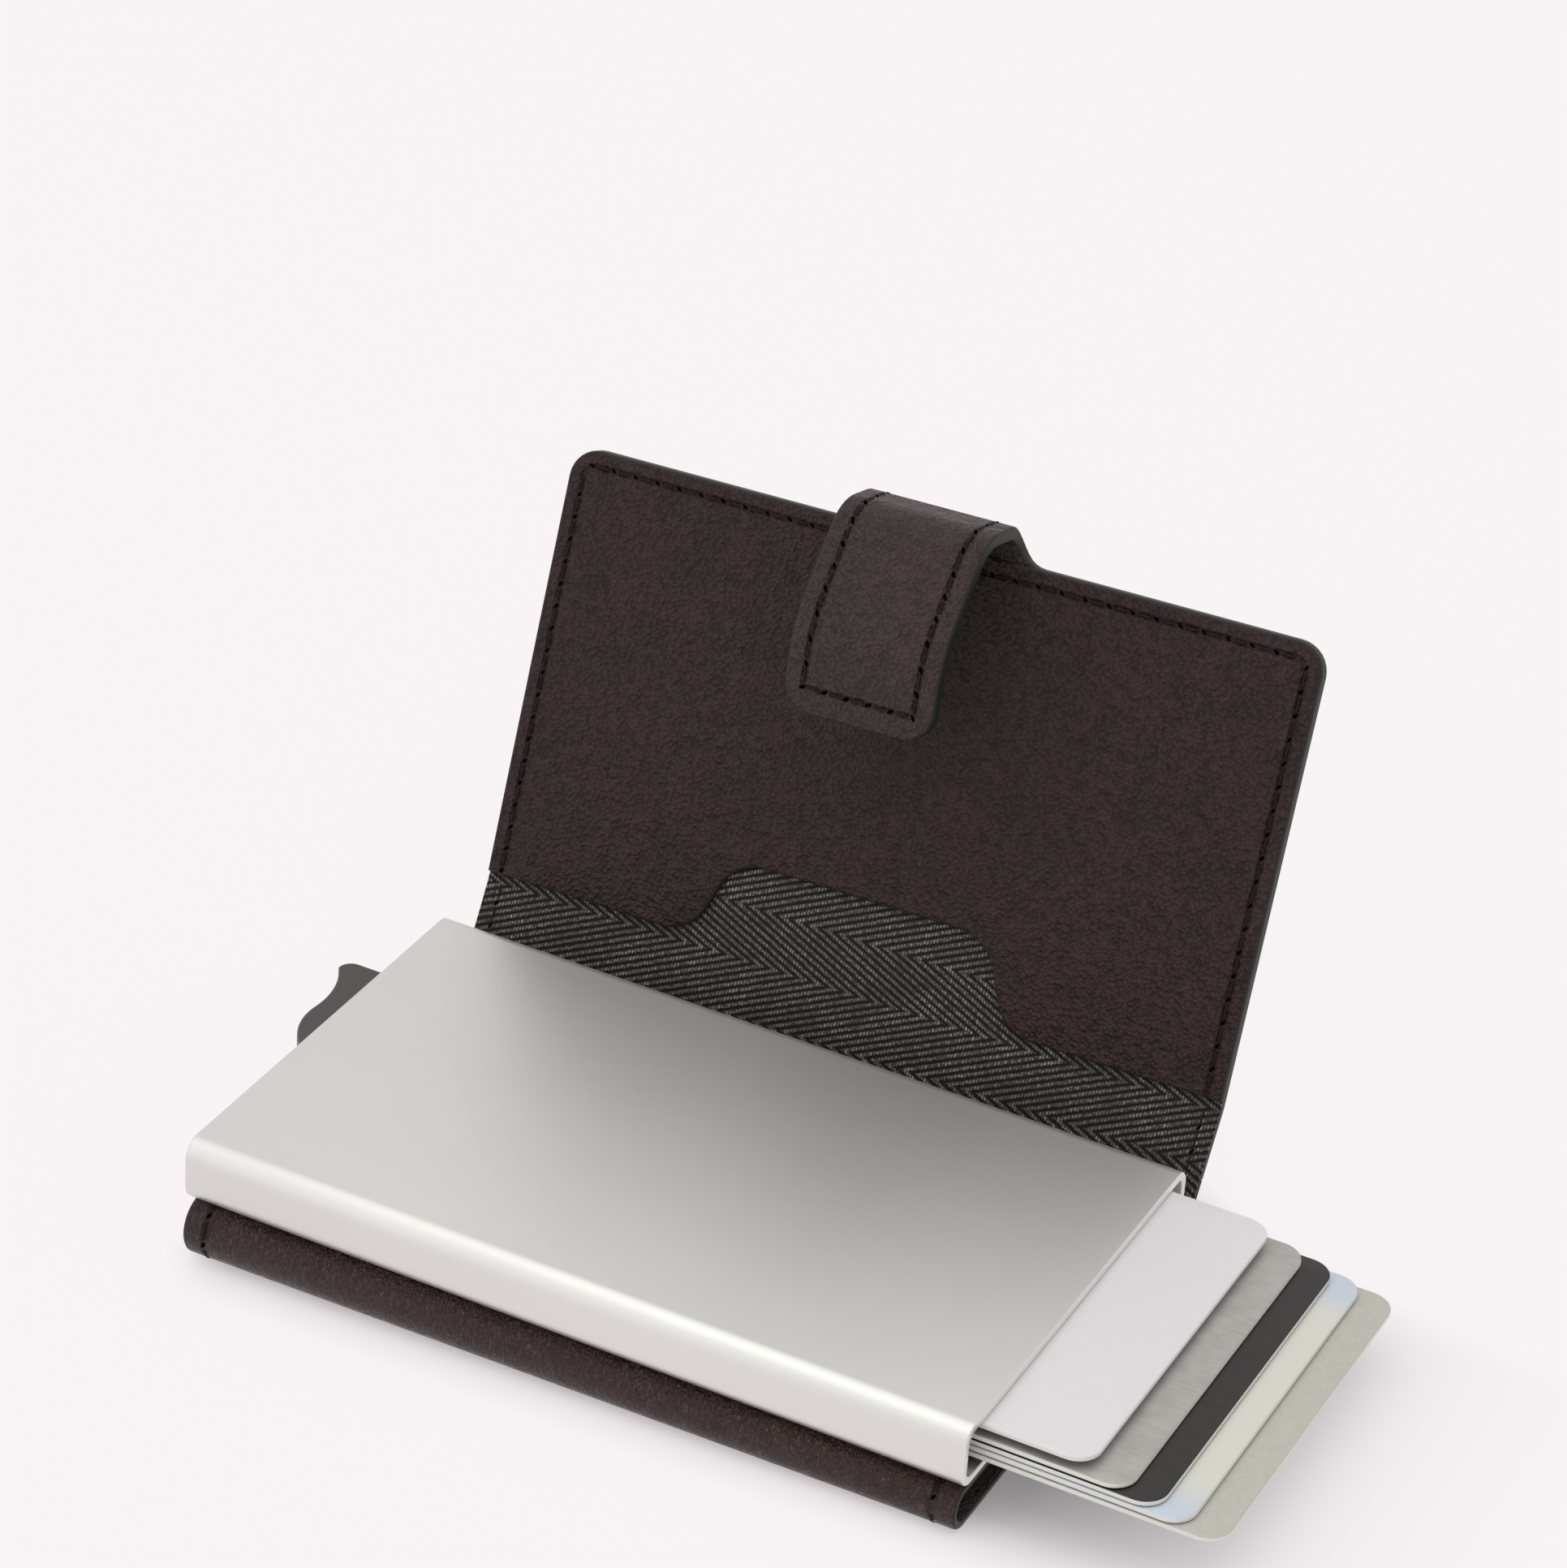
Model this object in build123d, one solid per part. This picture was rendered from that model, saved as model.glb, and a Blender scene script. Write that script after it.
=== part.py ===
from build123d import *
import math
import os

# Pop up card holder: an aluminium card case on a folded leather cover that stands open.
# Millimetres. X runs along the case, with the mouth at +X and the eject lever at -X.
# Y runs from the rounded front fold (-Y) to the spine and the raised flap (+Y). Z is up.
# The origin is the centre of the back leaf's rest face.

# Leather cover
cover_leather = 1.1
cloth = 0.35
hinge_gap = 0.3
floor_gap = 0.2
fold_margin = 0.3

# Back leaf, a flat sleeve under the case
leaf_thickness = 7.0
leaf_front_margin = 1.0
leaf_back_margin = 0.5
leaf_upper_setback = 0.35
leaf_board = 0.6
leaf_board_margin = 4.0
leaf_lining = 0.3
leaf_lining_margin = 1.5
leaf_tape = 0.5
closure_plate_length = 26.0
closure_plate_width = 14.0
closure_plate_inset = 12.0
case_tilt = 1.25

# Pad that holds the case on the leaf
pad_thickness = 0.15
pad_margin = 3.0

# Aluminium case
case_height = 8.7
case_wall = 1.15
case_corner = 2.5
case_edge = 0.2
case_overhang = 0.25

# Standard cards, and how far each stands out of the mouth
card_length = 85.6
card_width = 53.98
card_thickness = 0.76
card_corner = 3.18
card_pitch = 0.88
top_card_gap = 0.94
card_side_room = 3.11
stored_depth = 1.0
card_1_reach = 13.6
card_2_reach = 18.3
card_3_reach = 22.2
card_4_reach = 25.9
card_5_reach = 30.3
card_reaches = [card_1_reach, card_2_reach, card_3_reach, card_4_reach, card_5_reach]

# Strips that grip the cards
sliding_gap = 0.03
friction_strip = 0.98
friction_strip_width = 5.0
friction_strip_length = 60.0
friction_strip_inset = 1.2
top_strip_width = 8.0

# Lever frame, pin and lever
frame_fit = 0.05
frame_floor = 0.6
frame_length = 18.0
frame_wall = 1.5
frame_wall_width = 23.0
frame_wall_setback = 0.4
lever_lift = 0.1
lever_headroom = 0.28
pivot_from_end = 11.0
pivot_to_cards = 7.7
pivot_from_near_side = 44.0
pin_radius = 1.5
pin_clearance = 0.05
hub_radius = 4.5
lever_swing = 60.0
step_front = 2.4
step_back = 3.6
step_corner = 1.5
step_lead = 9.3
tab_width = 22.7
tab_reach = 17.3
tab_far_side = 3.3
tab_edge = 0.4

# Spine and flap
spine_lean = 31.0
flap_lean = 21.0
flap_width = 59.3
flap_corner = 4.0
closed_clearance = 0.3
flap_board = 0.35
flap_board_margin = 6.0
pocket_leather = 0.9
notch_top_width = 36.0
notch_mouth_width = 44.5
notch_depth = 11.2
notch_corner = 3.0

# Closing strap
strap_width = 20.4
strap_lining_leather = 0.8
strap_rise = 4.0
strap_drop = 21.4
strap_reach = 16.6
strap_root_radius = 3.1
strap_shoulder_radius = 5.6
strap_leg_radius = 14.0
strap_flare = 4.0
strap_tip_corner = 3.0
magnet_length = 12.0
magnet_height = 4.0
magnet_thickness = 0.5
magnet_from_tip = 2.5

# Thread
stitch_length = 2.2
stitch_pitch = 3.1
stitch_width = 0.45
stitch_height = 0.2
stitch_inset = 2.1
strap_tip_inset = 3.0
hem_inset = 3.0
hem_stitch_length = 2.0
hem_pitch = 2.8
hem_start = 48.0
hem_end = 135.0

cut_overrun = 5.0

# Sizes and places worked out from these: the case is built round its cards
case_length = pivot_from_end + pivot_to_cards + card_length + stored_depth
case_width = card_width + 2 * (card_side_room + case_wall)
cover_length = case_length - 2 * case_overhang
leaf_depth = leaf_front_margin + case_width + leaf_back_margin
leaf_front = -leaf_depth / 2
leaf_back = leaf_depth / 2
leaf_upper_back = leaf_back - leaf_upper_setback
tilt = math.radians(case_tilt)
pad_top = leaf_thickness + pad_thickness / math.cos(tilt)
case_place = Location((0, leaf_front + leaf_front_margin + case_width / 2, pad_top), (0, case_tilt, 0))
mouth = case_length / 2
case_inside = case_height - 2 * case_wall
lever_end = -mouth
near_side = -case_width / 2
pivot_x = lever_end + pivot_from_end
pivot_y = near_side + pivot_from_near_side
card_travels = [reach + stored_depth for reach in card_reaches]

layer_half = cover_leather / 2
flap_inner_face = layer_half + cloth + pocket_leather
spine_axis_y = leaf_back + hinge_gap + layer_half
spine_axis_z = layer_half + floor_gap
case_peak = pad_top + case_height * math.cos(tilt) + mouth * math.sin(tilt)
spine_width = case_peak + closed_clearance + flap_inner_face - spine_axis_z
fold_setback = layer_half + cloth + fold_margin
spine_tilt = math.radians(spine_lean)
flap_tilt = math.radians(flap_lean)
crease_y = spine_axis_y + spine_width * math.sin(spine_tilt)
crease_z = spine_axis_z + spine_width * math.cos(spine_tilt)


def leaning_plane(y, z, lean):
    # local x along the cover, local y up the leaf, local z towards its inner face
    return Plane(origin=(0, y, z), x_dir=(1, 0, 0), z_dir=(0, -math.cos(lean), math.sin(lean)))


spine_plane = leaning_plane(spine_axis_y, spine_axis_z, spine_tilt)
flap_plane = leaning_plane(crease_y, crease_z, flap_tilt)


def leaf_height(x):
    # the upper layer slopes down towards the mouth
    return leaf_thickness - x * math.tan(tilt)


def save(shape, name):
    shape.label = name
    export_step(shape, os.path.join("parts", name + ".step"))


# Back leaf

def fold_section(x):
    # leather folded over the front: nose and upper layer
    high = leaf_height(x)
    nose = leaf_front + high / 2
    inner = leaf_front + cover_leather
    with BuildSketch(Plane(origin=(x, 0, 0), x_dir=(0, 1, 0), z_dir=(1, 0, 0))) as section:
        with BuildLine():
            ThreePointArc((nose, 0), (leaf_front, high / 2), (nose, high))
            Line((nose, high), (leaf_upper_back, high))
            Line((leaf_upper_back, high), (leaf_upper_back, high - cover_leather))
            Line((leaf_upper_back, high - cover_leather), (nose, high - cover_leather))
            ThreePointArc((nose, high - cover_leather), (inner, high / 2), (nose, cover_leather))
            Line((nose, cover_leather), (nose, 0))
        make_face()
    return section.sketch


def base_cover():
    end = cover_length / 2
    fold = loft([fold_section(-end), fold_section(end)], ruled=True)
    lower = Polygon((-end, leaf_front + leaf_height(-end) / 2), (end, leaf_front + leaf_height(end) / 2),
                    (end, leaf_back), (-end, leaf_back), align=None)
    return fold + extrude(lower, cover_leather)


def tape_section(x):
    high = leaf_height(x) - cover_leather
    back = leaf_upper_back
    with BuildSketch(Plane(origin=(x, 0, 0), x_dir=(0, 1, 0), z_dir=(1, 0, 0))) as section:
        with BuildLine():
            Polyline((back - leaf_tape, cover_leather), (back, cover_leather), (back, high),
                     (back - leaf_tape, high), (back - leaf_tape, cover_leather))
        make_face()
    return section.sketch


def base_back_tape():
    return loft([tape_section(-cover_length / 2), tape_section(cover_length / 2)], ruled=True)


def leaf_sheet(margin, low, thickness):
    # flat sheet inside the leaf, clear of the nose and of the back tape
    length = cover_length - 2 * margin
    front = leaf_front + leaf_height(lever_end) / 2
    back = leaf_upper_back - leaf_tape - fold_margin
    centre = (0, (front + back) / 2, low + thickness / 2)
    return Pos(centre) * Box(length, back - front, thickness)


def closure_plate():
    y = leaf_front + closure_plate_inset
    place = Pos(0, y, cover_leather + leaf_board / 2)
    return place * Box(closure_plate_length, closure_plate_width, leaf_board)


def base_stiffener():
    return leaf_sheet(leaf_board_margin, cover_leather, leaf_board) - closure_plate()


def base_lining():
    return leaf_sheet(leaf_lining_margin, cover_leather + leaf_board, leaf_lining)


def case_pad():
    sheet = Box(case_length - 2 * pad_margin, case_width - 2 * pad_margin, pad_thickness)
    return case_place * Pos(0, 0, -pad_thickness / 2) * sheet


# Case

def tube_profile(inset):
    high = case_height - 2 * inset
    face = Rectangle(case_width - 2 * inset, high)
    return fillet(face.vertices(), case_corner - inset)


def along_case(face, start, length):
    # stands a profile up and runs it along the case from a distance past its lever end
    plane = Plane(origin=(lever_end + start, 0, case_height / 2), x_dir=(0, 1, 0), z_dir=(1, 0, 0))
    return extrude(plane * face, length)


def case_shell():
    tube = along_case(tube_profile(0), 0, case_length)
    bore = along_case(tube_profile(case_wall), -cut_overrun, case_length + 2 * cut_overrun)
    shell = tube - bore
    rims = shell.edges().group_by(Axis.X)
    return case_place * chamfer(rims[0] + rims[-1], case_edge)


def card_floor(number):
    # underside of a card above the case's own underside; card 5 is the lowest
    low = case_wall + friction_strip + sliding_gap + (len(card_reaches) - number) * card_pitch
    if number == 1:
        low += top_card_gap + card_thickness - card_pitch
    return low


def card(number):
    face = Rectangle(card_length, card_width)
    face = fillet(face.vertices(), card_corner)
    x = mouth + card_reaches[number - 1] - card_length / 2
    return case_place * Pos(x, 0, card_floor(number)) * extrude(face, card_thickness)


def friction_strip_at(side):
    y = side * (card_width / 2 - friction_strip_inset - friction_strip_width / 2)
    x = mouth - stored_depth - friction_strip_length / 2
    strip = Box(friction_strip_length, friction_strip_width, friction_strip)
    return case_place * Pos(x, y, case_wall + friction_strip / 2) * strip


def top_strip():
    low = card_floor(1) + card_thickness + sliding_gap
    high = case_height - case_wall
    x = mouth - stored_depth - friction_strip_length / 2
    strip = Box(friction_strip_length, top_strip_width, high - low)
    return case_place * Pos(x, 0, (low + high) / 2) * strip


# Lever

lever_low = case_wall + frame_fit + frame_floor + lever_lift
lever_high = case_height - case_wall - lever_headroom


def lever_frame():
    block = along_case(tube_profile(case_wall + frame_fit), frame_wall_setback, frame_length)
    floor_top = case_wall + frame_fit + frame_floor
    wall_side = near_side + case_wall + frame_wall_width
    room_length = frame_length + 2 * cut_overrun
    room_x = lever_end + frame_wall_setback + frame_wall + room_length / 2
    room = Pos(room_x, 0, floor_top + case_height / 2) * Box(room_length, case_width, case_height)
    gate_width = case_width
    gate_y = wall_side + gate_width / 2
    gate = Pos(lever_end, gate_y, floor_top + case_height / 2) * Box(room_length, gate_width, case_height)
    seat = Pos(pivot_x, pivot_y, case_wall) * Cylinder(
        pin_radius, case_height, align=(Align.CENTER, Align.CENTER, Align.MIN))
    return case_place * (block - room - gate - seat)


def lever_pin():
    low = case_wall + frame_fit
    high = case_height - case_wall - frame_fit
    pin = Cylinder(pin_radius, high - low, align=(Align.CENTER, Align.CENTER, Align.MIN))
    return case_place * Pos(pivot_x, pivot_y, low) * pin


def step_bounds(number):
    # each step works at the level of its own card
    low = lever_low
    high = lever_high
    if number < len(card_reaches):
        low = (card_floor(number + 1) + card_thickness + card_floor(number)) / 2
    if number > 1:
        high = (card_floor(number) + card_thickness + card_floor(number - 1)) / 2
    return low, high


def lever_step(number):
    low, high = step_bounds(number)
    length = card_travels[number - 1] + step_lead
    width = step_front + step_back
    face = Pos((step_front - step_back) / 2, -length / 2) * Rectangle(width, length)
    face = fillet(face.vertices().group_by(Axis.Y)[0], step_corner)
    face = Rot(0, 0, lever_swing) * face
    return Pos(0, 0, low) * extrude(face, high - low)


def lever_tab():
    # thumb tab seen from above: crest, hollow thumb face and rounded near end
    end = -tab_reach
    top = tab_far_side
    crest_share = 0.085
    hollow_shares = [(0.9, 0.24), (0.87, 0.5)]
    near_shares = [(0.83, 0.72), (0.7, 0.86)]
    crest = (end, top - crest_share * tab_width)
    hollow = [(end * out, top - down * tab_width) for out, down in hollow_shares]
    near = [(end * out, top - down * tab_width) for out, down in near_shares]
    root = (end / 2, top - tab_width)
    with BuildSketch() as tab:
        with BuildLine():
            Line((0, top), (end + crest_share * tab_width, top))
            ThreePointArc((end + crest_share * tab_width, top),
                          (end + crest_share * tab_width * (1 - math.sqrt(0.5)),
                           top - crest_share * tab_width * (1 - math.sqrt(0.5))), crest)
            ThreePointArc(crest, hollow[0], hollow[1])
            ThreePointArc(hollow[1], near[0], near[1])
            Line(near[1], root)
            Line(root, (0, -hub_radius))
            Line((0, -hub_radius), (0, top))
        make_face()
    block = extrude(tab.sketch, lever_high - lever_low)
    layers = block.edges().group_by(Axis.Z)
    outer = [edge for edge in layers[0] + layers[-1] if edge.center().X < -pivot_from_end]
    return Pos(0, 0, lever_low) * fillet(outer, tab_edge)


def eject_lever():
    hub = Cylinder(hub_radius, lever_high - lever_low, align=(Align.CENTER, Align.CENTER, Align.MIN))
    lever = Pos(0, 0, lever_low) * hub + lever_tab()
    for number in range(1, len(card_reaches) + 1):
        lever += lever_step(number)
    bore = Cylinder(pin_radius + pin_clearance, 2 * case_height)
    return case_place * Pos(pivot_x, pivot_y, 0) * (lever - bore)


# Spine and flap

def hinged_layer(width):
    # leather with a round end on its own hinge line
    plane = Plane(origin=(-cover_length / 2, 0, 0), x_dir=(0, 1, 0), z_dir=(1, 0, 0))
    with BuildSketch(plane) as section:
        with BuildLine():
            Line((0, layer_half), (width, layer_half))
            Line((width, layer_half), (width, -layer_half))
            Line((width, -layer_half), (0, -layer_half))
            ThreePointArc((0, -layer_half), (-layer_half, 0), (0, layer_half))
        make_face()
    return extrude(section.sketch, cover_length)


def spine_leather():
    return spine_plane * hinged_layer(spine_width - layer_half - hinge_gap)


def spine_lining():
    low = fold_setback
    high = spine_width - layer_half - hinge_gap
    sheet = Box(cover_length, high - low, cloth)
    return spine_plane * Pos(0, (low + high) / 2, layer_half + cloth / 2) * sheet


def round_free_corners(solid):
    corners = solid.edges().filter_by(Axis.Z).group_by(Axis.Y)[-1]
    return fillet(corners, flap_corner)


def flap_sheet(low, thickness):
    # full size layer of the flap, from its fold margin to the free edge
    height = flap_width - fold_setback
    sheet = Box(cover_length, height, thickness)
    return round_free_corners(Pos(0, fold_setback + height / 2, low + thickness / 2) * sheet)


def flap_board_block():
    length = cover_length - 2 * flap_board_margin
    height = flap_width - 2 * flap_board_margin
    centre = (0, flap_width / 2, layer_half - flap_board / 2)
    return Pos(centre) * Box(length, height, flap_board)


def flap_leather():
    return flap_plane * (round_free_corners(hinged_layer(flap_width)) - flap_board_block())


def flap_stiffener():
    return flap_plane * flap_board_block()


def flap_lining():
    return flap_plane * flap_sheet(layer_half, cloth)


def finger_notch():
    # centred notch in the pocket's lower edge, with flared sides and round corners
    low = fold_setback
    top = low + notch_depth
    with BuildSketch() as notch:
        Polygon((-notch_mouth_width / 2, low), (notch_mouth_width / 2, low),
                (notch_top_width / 2, top), (-notch_top_width / 2, top), align=None)
        fillet(notch.vertices().group_by(Axis.Y)[-1], notch_corner)
    face = notch.sketch
    lip = Pos(0, low - notch_corner / 2) * Rectangle(notch_mouth_width, notch_corner)
    return face + lip


def flap_pocket():
    sheet = flap_sheet(layer_half + cloth, pocket_leather)
    cutter = extrude(finger_notch(), 2 * flap_inner_face)
    leather = sheet - cutter
    lip_corners = [
        edge for edge in leather.edges().filter_by(Axis.Z)
        if abs(edge.center().Y - fold_setback) < notch_corner / 2
        and abs(edge.center().X) < notch_mouth_width
    ]
    return flap_plane * fillet(lip_corners, notch_corner)


# Strap

def strap_path():
    # seen from the side: up past the flap's edge, over, and down in front of the inner face
    rise_share = 0.68
    shoulder_share = 0.63
    bend_share = 0.53
    tip_share = 0.91
    points = [
        (hinge_gap, 0),
        (strap_rise, 0),
        (rise_share * strap_rise, shoulder_share * strap_reach),
        (-bend_share * strap_drop, strap_reach),
        (-strap_drop, tip_share * strap_reach),
    ]
    radii = [strap_root_radius, strap_shoulder_radius, strap_leg_radius]
    return FilletPolyline(*points, radius=radii)


def strap_band(side, thickness, width):
    # band of one thickness on one side of the path, centred on the flap
    band = make_face(strap_path().offset_2d(thickness, side=side, closed=True))
    plane = Plane(origin=(-width / 2, flap_width, layer_half), x_dir=(0, 1, 0), z_dir=(1, 0, 0))
    return extrude(plane * band, width)


def strap_tongue(side, thickness):
    # the parallel part, with its two corners at the tip rounded
    tongue = strap_band(side, thickness, strap_width)
    across = tongue.edges().filter_by(lambda edge: abs(edge.length - thickness) < hinge_gap)
    return fillet(across.group_by(Axis.Y)[0], strap_tip_corner)


def strap_root(side, thickness):
    # flared root that runs into the flap's free edge with hollow corners
    width = strap_width + 2 * strap_flare
    start = flap_width + hinge_gap
    keep = Pos(0, start + strap_flare / 2, 0) * Box(width, strap_flare, 2 * strap_flare)
    root = strap_band(side, thickness, width) & keep
    for x in (-width / 2, width / 2):
        root -= Pos(x, start + strap_flare, 0) * Cylinder(strap_flare, 2 * cut_overrun)
    return root


def strap_magnet_block():
    path = strap_path()
    tip = path @ 1
    way = (path % 1) * -1
    centre = tip + way * (magnet_from_tip + magnet_height / 2)
    block = Box(magnet_length, magnet_height, magnet_thickness)
    y = flap_width + centre.X
    turn = math.degrees(math.atan2(way.Y, way.X))
    place = Pos(0, y, layer_half + centre.Y) * Rot(turn, 0, 0)
    return place * Pos(0, 0, -magnet_thickness / 2) * block


def strap_leather():
    tongue = strap_tongue(Side.RIGHT, cover_leather)
    return flap_plane * (tongue + strap_root(Side.RIGHT, cover_leather))


def strap_lining():
    tongue = strap_tongue(Side.LEFT, strap_lining_leather)
    lining = tongue + strap_root(Side.LEFT, strap_lining_leather)
    return flap_plane * (lining - strap_magnet_block())


def strap_magnet():
    return flap_plane * strap_magnet_block()


# Thread

def stitch_row(start, end, height):
    # stitches on a flat face, from one point to another, evenly shared over the run
    run = math.dist(start, end)
    count = max(2, round(run / stitch_pitch))
    turn = math.degrees(math.atan2(end[1] - start[1], end[0] - start[0]))
    stitches = []
    for index in range(count):
        share = (index + 0.5) / count
        x = start[0] + share * (end[0] - start[0])
        y = start[1] + share * (end[1] - start[1])
        thread = Box(stitch_length, stitch_width, stitch_height)
        stitches.append(Pos(x, y, height + stitch_height / 2) * Rot(0, 0, turn) * thread)
    return stitches


def flap_stitches():
    side = cover_length / 2 - stitch_inset
    top = flap_width - stitch_inset
    low = fold_setback + stitch_length
    gap = strap_width / 2 + strap_flare
    face = flap_inner_face
    rows = stitch_row((-side, low), (-side, top - flap_corner), face)
    rows += stitch_row((-side + flap_corner, top), (-gap, top), face)
    rows += stitch_row((gap, top), (side - flap_corner, top), face)
    rows += stitch_row((side, top - flap_corner), (side, low), face)
    return Compound(children=[flap_plane * thread for thread in rows])


def hem_stitches():
    # threads round the nose of the front fold, near both ends of the leaf
    rows = []
    for side in (-1, 1):
        x = side * (cover_length / 2 - hem_inset)
        radius = leaf_height(x) / 2
        angle = math.radians(hem_start)
        while angle < math.radians(hem_end):
            turn = 180 - math.degrees(angle)
            place = Pos(x, leaf_front + radius, radius) * Rot(turn, 0, 0)
            place *= Pos(0, 0, radius + stitch_height / 2)
            rows.append(place * Box(stitch_width, hem_stitch_length, stitch_height))
            angle += hem_pitch / radius
    return Compound(children=rows)


def strap_thread(x, along, length, width):
    # one thread on the strap's outer face, at a distance along its path
    path = strap_path()
    point = path.position_at(along, position_mode=PositionMode.LENGTH)
    way = path.tangent_at(along, position_mode=PositionMode.LENGTH)
    turn = math.degrees(math.atan2(way.Y, way.X))
    place = Pos(x, flap_width + point.X, layer_half + point.Y) * Rot(turn, 0, 0)
    place *= Pos(0, 0, -cover_leather - stitch_height / 2)
    return flap_plane * place * Box(length, width, stitch_height)


def strap_stitches():
    # a row down each side and one across the tip
    side = strap_width / 2 - stitch_inset
    last = strap_path().length - strap_tip_inset
    count = int((last - stitch_inset) / stitch_pitch)
    rows = []
    for index in range(count + 1):
        along = last - (index + 0.5) * stitch_pitch
        rows.append(strap_thread(-side, along, stitch_width, stitch_length))
        rows.append(strap_thread(side, along, stitch_width, stitch_length))
    across = int(2 * side / stitch_pitch)
    for index in range(across):
        x = (index + 0.5 - across / 2) * stitch_pitch
        rows.append(strap_thread(x, last, stitch_length, stitch_width))
    return Compound(children=rows)


def main():
    os.makedirs("parts", exist_ok=True)
    parts = {
        "base_cover": base_cover(),
        "base_back_tape": base_back_tape(),
        "base_stiffener": base_stiffener(),
        "base_lining": base_lining(),
        "closure_plate": closure_plate(),
        "hem_stitches": hem_stitches(),
        "case_pad": case_pad(),
        "case_shell": case_shell(),
        "lever_frame": lever_frame(),
        "lever_pin": lever_pin(),
        "friction_strip_near": friction_strip_at(-1),
        "friction_strip_far": friction_strip_at(1),
        "top_strip": top_strip(),
        "eject_lever": eject_lever(),
        "spine_leather": spine_leather(),
        "spine_lining": spine_lining(),
        "flap_leather": flap_leather(),
        "flap_stiffener": flap_stiffener(),
        "flap_lining": flap_lining(),
        "flap_pocket": flap_pocket(),
        "flap_stitches": flap_stitches(),
        "strap_leather": strap_leather(),
        "strap_lining": strap_lining(),
        "strap_magnet": strap_magnet(),
        "strap_stitches": strap_stitches(),
    }
    for number in range(1, len(card_reaches) + 1):
        parts["card_" + str(number)] = card(number)
    for name, shape in parts.items():
        save(shape, name)


main()
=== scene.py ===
import bpy
import bmesh
import math
from mathutils import Matrix, Vector


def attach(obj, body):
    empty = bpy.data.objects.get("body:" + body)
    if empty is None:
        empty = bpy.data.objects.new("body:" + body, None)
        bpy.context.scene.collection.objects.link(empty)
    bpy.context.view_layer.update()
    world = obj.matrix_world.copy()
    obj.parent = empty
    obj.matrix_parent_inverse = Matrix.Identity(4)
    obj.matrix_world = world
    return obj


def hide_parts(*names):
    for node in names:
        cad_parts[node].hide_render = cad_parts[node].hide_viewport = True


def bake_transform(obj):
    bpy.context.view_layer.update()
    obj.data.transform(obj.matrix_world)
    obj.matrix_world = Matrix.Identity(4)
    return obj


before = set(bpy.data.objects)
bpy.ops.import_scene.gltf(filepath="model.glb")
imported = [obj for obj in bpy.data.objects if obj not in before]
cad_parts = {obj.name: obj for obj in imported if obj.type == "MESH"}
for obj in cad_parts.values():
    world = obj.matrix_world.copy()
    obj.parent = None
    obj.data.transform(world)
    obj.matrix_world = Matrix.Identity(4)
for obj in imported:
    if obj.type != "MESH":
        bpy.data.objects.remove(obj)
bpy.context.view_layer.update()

# Millimetres throughout; each piece is brought to metres when it is finished.
MM = 0.001
NEAR = 0.01

# Leather cover
COVER_HALF = 52.4
LEATHER = 1.1
HALF = LEATHER / 2
CLOTH_THICK = 0.35
POCKET_THICK = 0.9
CLOTH_TOP = HALF + CLOTH_THICK
POCKET_TOP = CLOTH_TOP + POCKET_THICK
STRAP_LINING_TOP = HALF + 0.8
FLAP = 59.3
CORNER = 4.0
SPINE = 18.3465
SPINE_AXIS = (32.85, 0.75)
SPINE_LEAN = math.radians(31.0)
FLAP_LEAN = math.radians(21.0)
# the skew of the raised flap: how much further back the spine leans towards the mouth end, in step
# with the place along the cover and with its square, and how much higher the flap stands there
SPINE_WARP = (math.radians(1.6), math.radians(1.5))
FLAP_WARP = 0.4
CREASE = (SPINE_AXIS[0] + SPINE * math.sin(SPINE_LEAN), SPINE_AXIS[1] + SPINE * math.cos(SPINE_LEAN))

# Strap, on an arch that rises over the flap's edge, reaches inwards and drops in front of the flap
STRAP_HALF = 10.2
STRAP_FLARE = 4.0
STRAP_TIP = 4.0
STRAP_RISE = 4.0
STRAP_REACH = 16.6
STRAP_DROP = 21.4
STRAP_PAST = 1.3
STRAP_CORNERS = [(0, 0), (STRAP_RISE, 0), (0.68 * STRAP_RISE, 0.63 * STRAP_REACH),
                 (-0.53 * STRAP_DROP, STRAP_REACH), (-STRAP_DROP, 0.91 * STRAP_REACH)]
STRAP_RADII = [3.1, 5.6, 14.0]

# Back leaf
LEAF_FRONT = -32.0
LEAF_BACK = 31.8
LEAF_UPPER_BACK = 31.65
LEAF_HIGH = 7.0
TILT = math.radians(1.25)

# Case
CASE_LENGTH = 105.3
CASE_WIDTH = 62.5
CASE_HEIGHT = 8.7
CASE_WALL = 1.15
CASE_CORNER = 2.5
CASE_BACK = 0.25
PAD_THICK = 0.15
CASE_PLACE = Matrix.Translation((0, CASE_BACK, LEAF_HIGH + PAD_THICK)) @ Matrix.Rotation(TILT, 4, "Y")

# Cards, from the top of the stack down: reach past the mouth, and floor above the case's underside
CARD_LENGTH = 85.6
CARD_WIDTH = 53.98
CARD_THICKNESS = 0.76
CARD_CORNER = 3.18
CARDS = [(13.6, 6.62), (18.3, 4.8), (22.2, 3.92), (25.9, 3.04), (30.3, 2.16)]

# Thread, and how far its rows lie in from the edges
STITCH_PITCH = 3.1
STITCH_INSET = 2.1
STRAP_INSET = 2.6
STRAP_END_INSET = 3.3
HEM_INSET = 3.0

# Rounding of the cut edges
LEATHER_EDGE = 0.42
POCKET_EDGE = 0.45
STRAP_EDGE = 0.35
CASE_EDGE = 0.22
CARD_EDGE = 0.2


# Modelling by hand

def clear_selection():
    if bpy.context.object is not None and bpy.context.object.mode != "OBJECT":
        bpy.ops.object.mode_set(mode="OBJECT")
    bpy.ops.object.select_all(action="DESELECT")


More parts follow.
